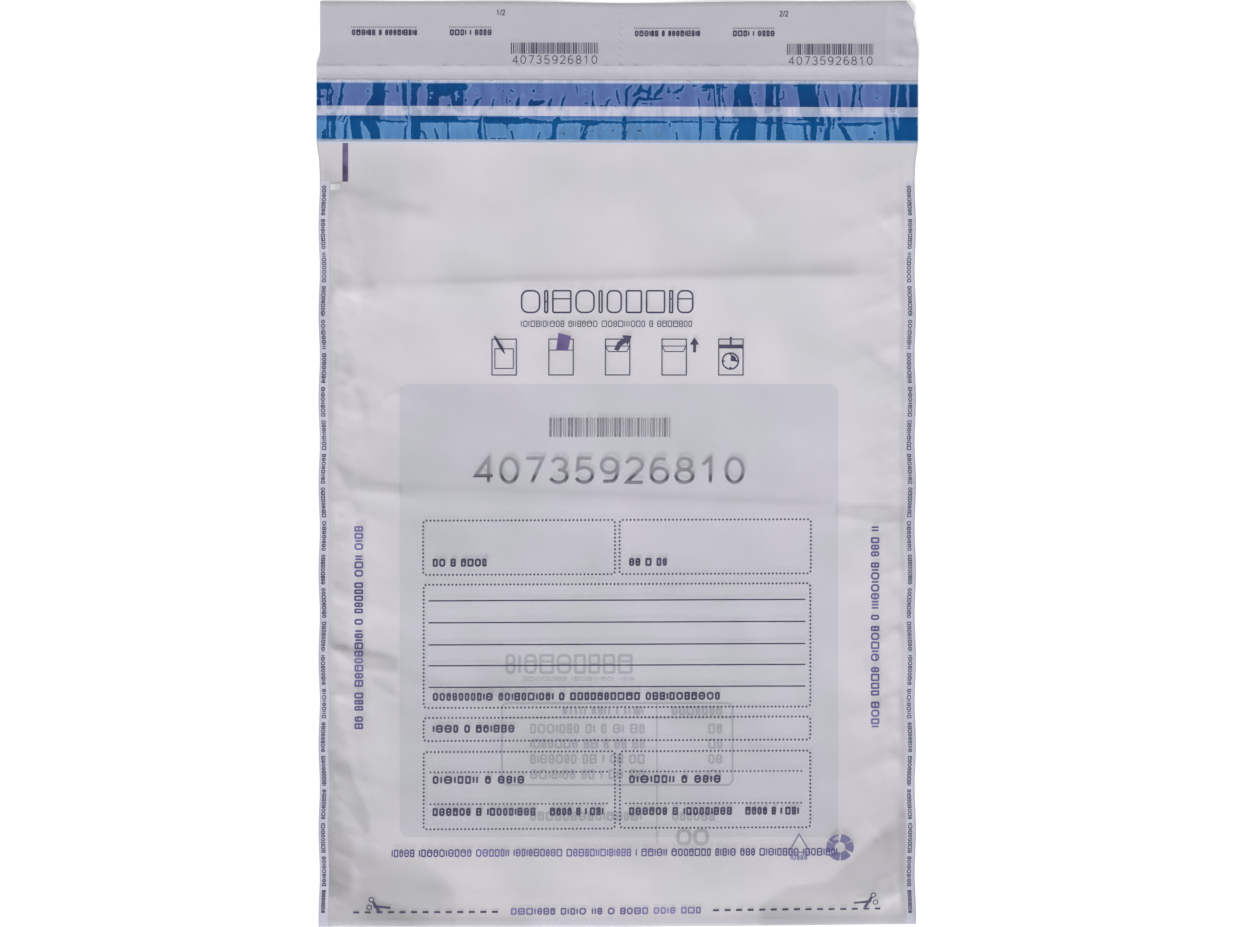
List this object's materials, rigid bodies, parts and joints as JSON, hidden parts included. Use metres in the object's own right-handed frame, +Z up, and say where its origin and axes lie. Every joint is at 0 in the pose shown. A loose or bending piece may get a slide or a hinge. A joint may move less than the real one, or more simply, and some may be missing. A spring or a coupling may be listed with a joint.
{
  "type": "security envelope",
  "caption": "Flat film security envelope with side welds, an adhesive closing tape under a release liner, a writing field and tear-off receipts.",
  "frame": {"origin": "centre of the envelope's outline, on the surface it lies on", "axes": "+X to the right of the printed front, +Y from the bottom fold towards the receipts, +Z up out of the printed front"},
  "size_m": [0.328, 0.505, 0.0031],
  "materials": {
    "pouch_film": "satin translucent polyethylene film",
    "tape": "glossy blue adhesive tape with a white centre stripe",
    "liner": "clear glossy release film"
  },
  "bodies": {
    "root": {"film_pouch": "pouch_film", "closure_tape": "tape", "release_liner": "liner"}
  },
  "joints": []
}
